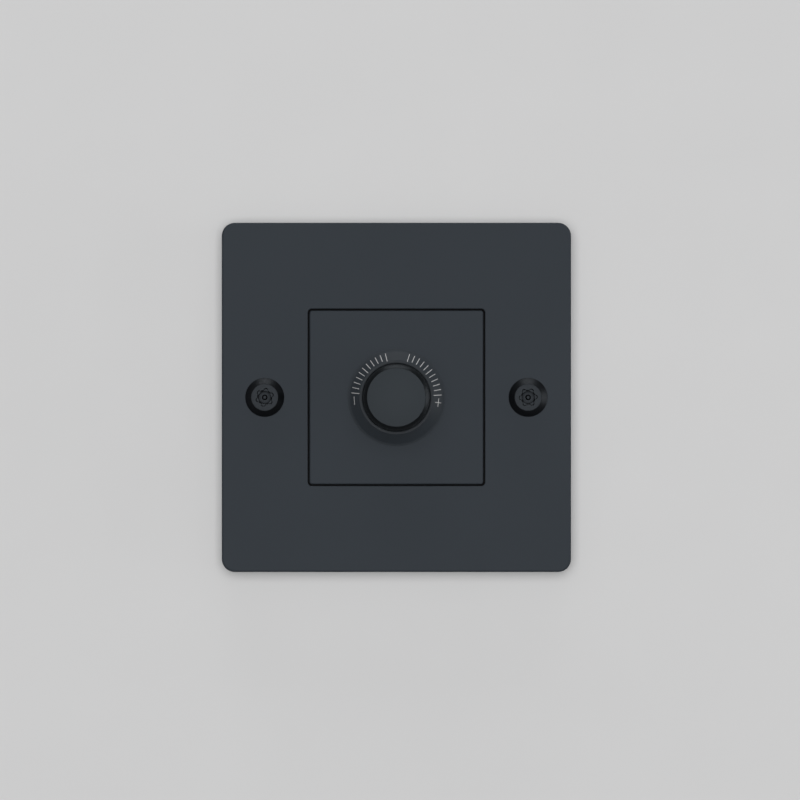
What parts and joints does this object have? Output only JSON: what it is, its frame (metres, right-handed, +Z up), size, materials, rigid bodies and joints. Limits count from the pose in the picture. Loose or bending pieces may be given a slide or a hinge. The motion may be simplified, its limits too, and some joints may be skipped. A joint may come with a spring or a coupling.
{
  "type": "rotary dimmer switch",
  "caption": "Square wall plate dimmer with a knurled push-and-turn knob in a raised conical dial ring, on a steel yoke with a rear works housing and brass terminals.",
  "frame": {"origin": "centre of the plate on the wall plane", "axes": "+Z up, -Y out of the wall towards the room along the knob's axis, +X to the right seen from the room"},
  "size_m": [0.08, 0.0418, 0.08],
  "materials": {
    "plate_coat": "satin powder coat",
    "insert_coat": "satin powder coat",
    "dial_coat": "satin powder coat, pale printed scale",
    "knob_coat": "satin coat over a fine knurl",
    "screw_coat": "dark satin coat",
    "yoke_coat": "black coat over pressed steel",
    "zinc_steel": "zinc plated",
    "die_cast": "die-cast zinc alloy",
    "shaft_metal": "turned",
    "spring_steel": "bright spring",
    "housing_moulding": "fine spark-eroded texture",
    "works_moulding": "moulded",
    "laminate": "phenolic laminate",
    "contact_metal": "silvered brass",
    "terminal_brass": "bright brass",
    "board_laminate": "solder mask",
    "film_box": "moulded box",
    "can_sleeve": "shrunk sleeve",
    "fuse_tube": "ceramic tube",
    "ferrite": "sintered",
    "copper": "enamelled wire",
    "sink_metal": "rolled",
    "chip_moulding": "moulded"
  },
  "bodies": {
    "base": {"face_plate": "plate_coat", "centre_insert": "insert_coat", "scale_collar": "dial_coat", "fixing_screws": "screw_coat", "support_yoke": "yoke_coat", "pot_can": "zinc_steel", "housing_screws": "zinc_steel", "transistor_screws": "zinc_steel", "terminal_screws": "zinc_steel", "lock_washer": "zinc_steel", "bush_nut": "zinc_steel", "pot_bush": "die_cast", "return_spring": "spring_steel", "rear_housing": "housing_moulding", "switch_cover": "works_moulding", "switch_base": "works_moulding", "track_wafer": "laminate", "fixed_contacts": "contact_metal", "wafer_terminals": "contact_metal", "terminal_blocks": "terminal_brass", "earth_clamp": "terminal_brass", "earth_screw": "terminal_brass", "circuit_board": "board_laminate", "suppression_capacitor": "film_box", "reservoir_capacitor": "can_sleeve", "fuse": "fuse_tube", "choke_core": "ferrite", "choke_winding": "copper", "heat_sink": "sink_metal", "power_transistors": "chip_moulding", "control_chip": "chip_moulding"},
    "push_carriage": {"switch_plunger": "works_moulding", "bridge_contact": "contact_metal"},
    "knob": {"control_knob": "knob_coat", "knob_clip": "spring_steel", "control_shaft": "shaft_metal"},
    "rotor": {"rotor": "works_moulding", "wiper": "contact_metal"}
  },
  "joints": [
    {"name": "knob_push", "type": "slide", "parent": "base", "child": "push_carriage", "axis": [0, 1, 0], "range_m": [0, 0.001], "stiffness_N_per_m": 1000, "springref_m": -0.0015, "deforming": ["return_spring"]},
    {"name": "knob_turn", "type": "hinge", "parent": "push_carriage", "child": "knob", "pos_m": [0, 0, 0], "axis": [0, 1, 0], "range_deg": [-135, 135]},
    {"name": "rotor_turn", "type": "hinge", "parent": "base", "child": "rotor", "pos_m": [0, 0, 0], "axis": [0, 1, 0], "range_deg": [-135, 135]}
  ],
  "couplings": [
    {"joint": "rotor_turn", "follows": "knob_turn", "ratio": 1}
  ]
}
